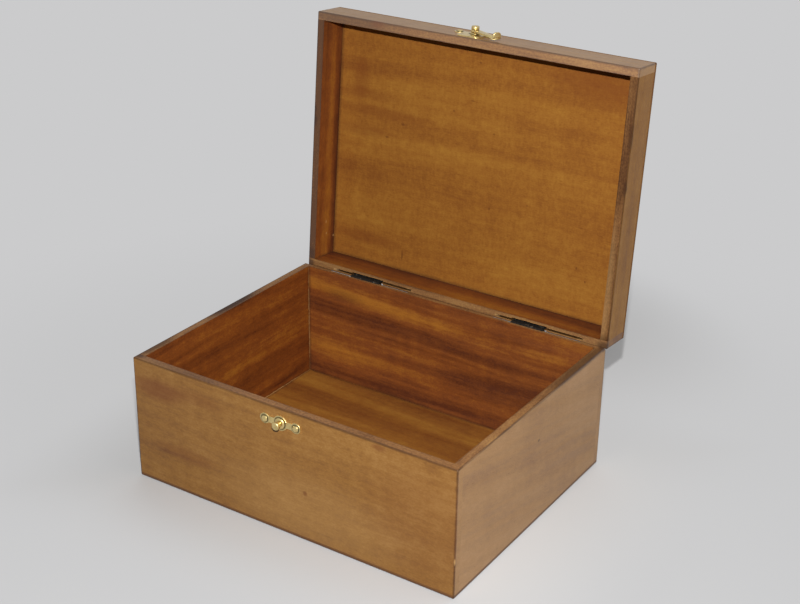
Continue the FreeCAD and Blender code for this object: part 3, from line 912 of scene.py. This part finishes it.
def plate_grid(sizes, centre, tongue):
    """A plate between its lower and upper outline, its places across closer together towards the ends.

    The lower outline drops to the tongue's, whose corners are circles' arcs.
    """
    reach = sizes.lobe_spacing + sizes.lobe_radius
    across = reach * np.sin(np.linspace(-np.pi / 2, np.pi / 2, PLATE_POINTS))
    high = plate_outline(across, sizes)
    low = high
    if tongue:
        straight = sizes.tongue_width / 2 - sizes.tongue_round
        corner = np.clip(np.abs(across) - straight, 0, sizes.tongue_round)
        drop = sizes.tongue_length - sizes.tongue_round + np.sqrt(sizes.tongue_round ** 2 - corner ** 2)
        low = np.where(np.abs(across) < sizes.tongue_width / 2, np.maximum(high, drop), high)
    middle = np.column_stack([centre.x + across, centre.z + (high - low) / 2])
    section = slab_section(sizes.plate_round, sizes.plate_thick)
    return strip(middle, np.array([(0.0, 1.0)]), (high + low) / 2, 0, section)


def nail_grids(sizes, centre, leans):
    """Two domed nails, driven a little askew, with their shanks in the wood."""
    dome = arc((0, sizes.plate_thick), (sizes.nail_head, sizes.nail_rise), 0, 90, count=10)
    shank = [(0, -sizes.nail_length), (sizes.nail_shank, -sizes.nail_length + sizes.nail_shank)]
    shank += [(sizes.nail_shank, sizes.plate_thick), (sizes.nail_head, sizes.plate_thick)]
    profile = np.concatenate([shank, dome])
    places = (centre.x - sizes.lobe_spacing, centre.x + sizes.lobe_spacing)
    return [turned(profile, place, centre.z, lean) for place, lean in zip(places, leans)]


def knob_profile(sizes):
    """Neck, rounded underside, rim and slightly domed face of a turned head."""
    collar_top = sizes.plate_thick + sizes.collar_height
    base = collar_top + sizes.groove
    top = base + sizes.knob_height
    edge = sizes.knob_height / 3
    under = arc((sizes.knob_radius - edge / 2, base + edge / 2), (edge / 2, edge / 2), -90, 0, count=6)
    over = arc((sizes.knob_radius - edge, top - edge), (edge, edge), 0, 80, count=9)
    neck = [(sizes.neck_radius, collar_top), (sizes.neck_radius, base)]
    return np.concatenate([neck, under, over, [(0, top)]])


def collar_profile(sizes):
    """A low domed collar from the plate to the neck."""
    dome = (sizes.collar_radius - sizes.neck_radius, sizes.collar_height)
    return arc((sizes.neck_radius, sizes.plate_thick), dome, 0, 90, count=14)


def hook_line(sizes, reach):
    """Middle line of the hook below its pivot: the arm, a cubic curve outwards, and round the stud's neck.

    The cubic leaves the arm straight down and meets the ring along its tangent.
    """
    ring = (sizes.hook_end + sizes.neck_radius + sizes.hook_play) / 2
    bend = -reach + sizes.hook_bend
    eye = sizes.hook_eye * np.cos(np.linspace(0, np.pi, EYE_POINTS))
    shaft = np.concatenate([eye, np.linspace(-sizes.hook_eye, bend, ARM_POINTS)[1:]])
    arm = np.column_stack([np.zeros(len(shaft)), shaft])
    round_stud = arc((0, -reach), (ring, ring), RING_FROM, RING_TO, RING_POINTS)
    first, last = arm[-1], round_stud[0]
    run = np.linalg.norm(last - first)
    start_way = np.array([0, -run])
    end_way = run * np.array([last[1] + reach, -last[0]]) / ring
    part = np.linspace(0, 1, BEND_POINTS)[1:-1, None]
    curve = first * (2 * part ** 3 - 3 * part ** 2 + 1) + start_way * (part ** 3 - 2 * part ** 2 + part)
    curve = curve + last * (3 * part ** 2 - 2 * part ** 3) + end_way * (part ** 3 - part ** 2)
    return np.concatenate([arm, curve, round_stud])


def hook_grid(sizes, pivot, reach):
    """The hook's strip: a round eye, an arm that narrows into the ring, and a rounded tip."""
    line = hook_line(sizes, reach)
    ahead = np.gradient(line, axis=0)
    ahead = ahead / np.linalg.norm(ahead, axis=1, keepdims=True)
    normal = np.column_stack([-ahead[:, 1], ahead[:, 0]])
    gone = np.concatenate([[0], np.cumsum(np.linalg.norm(np.diff(line, axis=0), axis=1))])
    from_pivot = gone - sizes.hook_eye
    eye = np.sqrt(np.clip(sizes.hook_eye ** 2 - from_pivot ** 2, 0, None))
    ring_half = (sizes.hook_end - sizes.neck_radius - sizes.hook_play) / 2
    narrow = rise_from(from_pivot, reach - NARROWING * sizes.hook_bend, reach)
    arm = sizes.hook_arm / 2 * (1 - narrow) + ring_half * narrow
    arm = arm * rise_from(from_pivot, 0, sizes.hook_eye)
    half = (eye ** BLEND + arm ** BLEND) ** (1 / BLEND)
    to_tip = np.clip((gone[-1] - gone) / ring_half, 0, 1)
    half = half * np.sqrt(1 - (1 - to_tip) ** 2)
    base = sizes.plate_thick + sizes.collar_height + (sizes.groove - sizes.hook_thick) / 2
    section = slab_section(sizes.hook_edge, sizes.hook_thick)
    return strip(line + np.array([pivot.x, pivot.z]), normal, half, base, section)


def tab_grid(sizes, pivot, reach):
    """The finger tab: a strip that leaves the hook's end, bends through an arc and rises to a rounded top.

    Its path runs in the plane of the hook's length and the face's normal, and its section lies across it.
    """
    base = sizes.plate_thick + sizes.collar_height + sizes.groove / 2
    bend = sizes.hook_thick
    start = reach + sizes.hook_end - TAB_INSET * bend
    curve = arc((start, base + bend), (bend, bend), -90, -8, count=14)
    top = base + sizes.hook_thick / 2 + sizes.tab_rise
    climb = curve[-1, 1] + (top - curve[-1, 1]) * np.sin(np.linspace(0, np.pi / 2, TAB_POINTS))[1:]
    lean = curve[-1, 0] + TAB_LEAN * bend * ((climb - climb[0]) / (top - climb[0])) ** 2
    path = np.concatenate([curve, np.column_stack([lean, climb])])
    ahead = np.gradient(path, axis=0)
    ahead = ahead / np.linalg.norm(ahead, axis=1, keepdims=True)
    from_top = np.clip((top - path[:, 1]) / sizes.tab_round, 0, 1)
    half = (sizes.tab_width / 2 + sizes.tab_round * (np.sqrt(1 - (1 - from_top) ** 2) - 1))[:, None]
    thick = sizes.hook_thick * TAB_THIN
    side, inset, level = slab_section(sizes.hook_edge, thick).T
    level = level - thick / 2
    across = pivot.x + side * (half - np.minimum(inset, half))
    along = path[:, :1] + ahead[:, 1:] * level
    out = path[:, 1:] - ahead[:, :1] * level
    return on_front(across, pivot.z - along, out)


def fixing_rings(sizes, centre):
    """Where painted shade rings a plate: round both nails and the post, as place and radius."""
    post = (centre.x, centre.z, sizes.collar_radius)
    nails = [(centre.x + side * sizes.lobe_spacing, centre.z, sizes.nail_head) for side in (-1, 1)]
    return [post, *nails]


# Operators

class OBJECT_OT_box_boards(bpy.types.Operator):
    """Stain the walls, rails and panels"""

    bl_idname = "object.box_boards"
    bl_label = "Boards"

    def execute(self, context):
        for name, board in BOARDS.items():
            assign(name, wood(name, board, context.scene.box_wood))
        return {"FINISHED"}


class OBJECT_OT_box_hinges(bpy.types.Operator):
    """Blacken the two hinges"""

    bl_idname = "object.box_hinges"
    bl_label = "Hinges"

    def execute(self, context):
        finish = iron(context.scene.box_metal)
        for side in ("left", "right"):
            for part in ("box_leaf", "lid_leaf", "pin"):
                assign(f"{side}_hinge_{part}", finish)
        return {"FINISHED"}


class OBJECT_OT_box_catch(bpy.types.Operator):
    """Build the catch on the box: plate, stud and nails"""

    bl_idname = "object.box_catch"
    bl_label = "Catch"

    def execute(self, context):
        sizes = context.scene.box_clasp
        finish = brass("catch_brass", context.scene.box_metal, False, fixing_rings(sizes, STUD))
        foot = [(0, sizes.plate_thick)]
        profile = np.concatenate([foot, collar_profile(sizes), knob_profile(sizes)])
        pieces = {
            "catch_plate": [plate_grid(sizes, STUD, tongue=False)],
            "catch_stud": [turned(profile, STUD.x, STUD.z)],
            "catch_nails": nail_grids(sizes, STUD, CATCH_LEANS),
        }
        for node, grids in pieces.items():
            add_piece(f"{node}_brass", grids, finish, "box", node)
        return {"FINISHED"}


class OBJECT_OT_box_hook(bpy.types.Operator):
    """Build the swing hook on the lid, with its plate, nails, spacer and rivet"""

    bl_idname = "object.box_hook"
    bl_label = "Hook"

    def execute(self, context):
        sizes = context.scene.box_clasp
        finish = brass("hook_brass", context.scene.box_metal, True, fixing_rings(sizes, PIVOT))
        pieces = {
            "hook_plate": [plate_grid(sizes, PIVOT, tongue=True)],
            "hook_plate_nails": nail_grids(sizes, PIVOT, HOOK_LEANS),
            "hook_spacer": [turned(collar_profile(sizes), PIVOT.x, PIVOT.z)],
            "hook_rivet": [turned(knob_profile(sizes), PIVOT.x, PIVOT.z)],
        }
        for node, grids in pieces.items():
            opened = [moved(grid, OPEN_LID) for grid in grids]
            add_piece(f"{node}_brass", opened, finish, "lid", node)
        reach = PIVOT.z - STUD.z
        parts = (hook_grid(sizes, PIVOT, reach), tab_grid(sizes, PIVOT, reach))
        hook = [moved(grid, OPEN_LID @ SWING_HOOK) for grid in parts]
        add_piece("clasp_hook_brass", hook, finish, "hook", "clasp_hook")
        return {"FINISHED"}


# Stage

# Width of the camera's sensor in millimetres
FULL_FRAME = 36

# How far the room's bright side is turned to the right, and where it sets in and is full
ROOM_SLANT = 0.25
ROOM_FADE = (-0.1, 0.5)

# The floor's half width, how far it lies below the box, and where it fades into the backdrop's colour
FLOOR_REACH = 6.0
FLOOR_DROP = 0.3 * MM
BESIDE_FADE = (0, 0.12)
AWAY_FADE = (0.22, 0.6)


class OBJECT_OT_box_stage(bpy.types.Operator):
    """Set the camera, the light and the floor"""

    bl_idname = "object.box_stage"
    bl_label = "Stage"

    def execute(self, context):
        scene = context.scene
        stage = scene.box_stage
        scene.view_settings.view_transform = "Standard"
        camera = self.camera(scene, stage)
        self.key(scene, stage, camera)
        self.room(scene, stage)
        self.floor(scene, stage)
        return {"FINISHED"}

    def camera(self, scene, stage):
        turn = Matrix.Rotation(stage.camera_turn, 4, "Z")
        fall = Matrix.Rotation(math.pi / 2 - stage.camera_fall, 4, "X")
        roll = Matrix.Rotation(stage.camera_roll, 4, "Z")
        lens = bpy.data.cameras.new("camera")
        lens.sensor_width = FULL_FRAME
        lens.sensor_fit = "HORIZONTAL"
        lens.lens = stage.camera_lens
        camera = bpy.data.objects.new("camera", lens)
        camera.matrix_world = Matrix.Translation(stage.camera_place) @ turn @ fall @ roll
        scene.collection.objects.link(camera)
        scene.camera = camera
        return camera

    def key(self, scene, stage, camera):
        """A lamp a little above the camera."""
        lamp = bpy.data.lights.new("key", "AREA")
        lamp.shape = "DISK"
        lamp.size = stage.key_size
        lamp.energy = stage.key_power
        key = bpy.data.objects.new("key", lamp)
        key.matrix_world = camera.matrix_world @ Matrix.Translation((stage.key_aside, stage.key_rise, 0))
        scene.collection.objects.link(key)

    def room(self, scene, stage):
        """Even light all round, stronger from behind the box, that is seen as the backdrop's colour."""
        world = bpy.data.worlds.new("room")
        paint = Paint(world)
        x, y, _ = paint.split(paint.node("ShaderNodeTexCoord", {}, {}, "Generated"))
        behind = (y + x * ROOM_SLANT).step(*ROOM_FADE)
        light = paint.mix(behind, rgba((stage.room_front,) * 3), rgba((stage.room_back,) * 3))
        background = paint.tree.nodes["Background"]
        paint.feed(background.inputs["Color"], paint.mix(paint.seen(), light, rgba(stage.backdrop)))
        scene.world = world

    def floor(self, scene, stage):
        """A pale floor that keeps soft shadows near the box and fades into its backdrop colour."""
        paint = material("pale_floor")
        seen = paint.seen()
        paint.surface(Base_Color=paint.mix(seen, rgba(stage.bounce), rgba(stage.floor)), Roughness=0.8)
        point = paint.place(False)
        x, y, _ = paint.split(point)
        beside = (abs(x) - HALF_WIDTH).most(abs(y) - HALF_DEPTH).step(*BESIDE_FADE)
        away = paint.vectors("LENGTH", point, (0, 0, 0), "Value").step(*AWAY_FADE)
        shaded = paint.spot(point, stage.shade_place, stage.shade_size)
        plain = (beside * stage.floor_plain + away * (1 - stage.floor_plain)) * (1 - shaded * stage.shade)
        glow = paint.node("ShaderNodeEmission", {}, {"Color": rgba(stage.backdrop)})
        lit = Socket(paint, paint.tree.nodes["Principled BSDF"].outputs[0])
        mixed = paint.node("ShaderNodeMixShader", {}, {0: seen * plain, 1: lit, 2: glow})
        paint.feed(paint.tree.nodes["Material Output"].inputs["Surface"], mixed)
        mesh = bpy.data.meshes.new("floor")
        signs = ((-1, -1), (1, -1), (1, 1), (-1, 1))
        corners = [(right * FLOOR_REACH, back * FLOOR_REACH, -FLOOR_DROP) for right, back in signs]
        mesh.from_pydata(corners, [], [(0, 1, 2, 3)])
        mesh.materials.append(paint.owner)
        floor = bpy.data.objects.new("floor", mesh)
        scene.collection.objects.link(floor)


# Add-on

OPERATORS = (
    OBJECT_OT_box_boards,
    OBJECT_OT_box_hinges,
    OBJECT_OT_box_catch,
    OBJECT_OT_box_hook,
    OBJECT_OT_box_stage,
)


class VIEW3D_PT_box(bpy.types.Panel):
    """The box's pieces and their sizes and colours"""

    bl_label = "Hinged Box"
    bl_space_type = "VIEW_3D"
    bl_region_type = "UI"
    bl_category = "Box"

    def draw(self, context):
        for operator in OPERATORS:
            self.layout.operator(operator.bl_idname)
        for name in GROUPS:
            group = getattr(context.scene, name)
            for prop in group.bl_rna.properties:
                if prop.identifier not in ("rna_type", "name"):
                    self.layout.prop(group, prop.identifier)


GROUPS = {"box_wood": BoxWood, "box_metal": BoxMetal, "box_clasp": ClaspSizes, "box_stage": BoxStage}
CLASSES = (*GROUPS.values(), *OPERATORS, VIEW3D_PT_box)


def register():
    for cls in CLASSES:
        bpy.utils.register_class(cls)
    for name, group in GROUPS.items():
        setattr(bpy.types.Scene, name, bpy.props.PointerProperty(type=group))


def unregister():
    for name in GROUPS:
        delattr(bpy.types.Scene, name)
    for cls in reversed(CLASSES):
        bpy.utils.unregister_class(cls)


def main():
    register()
    bpy.ops.object.box_boards()
    bpy.ops.object.box_hinges()
    bpy.ops.object.box_catch()
    bpy.ops.object.box_hook()
    bpy.ops.object.box_stage()


if __name__ == "__main__":
    main()
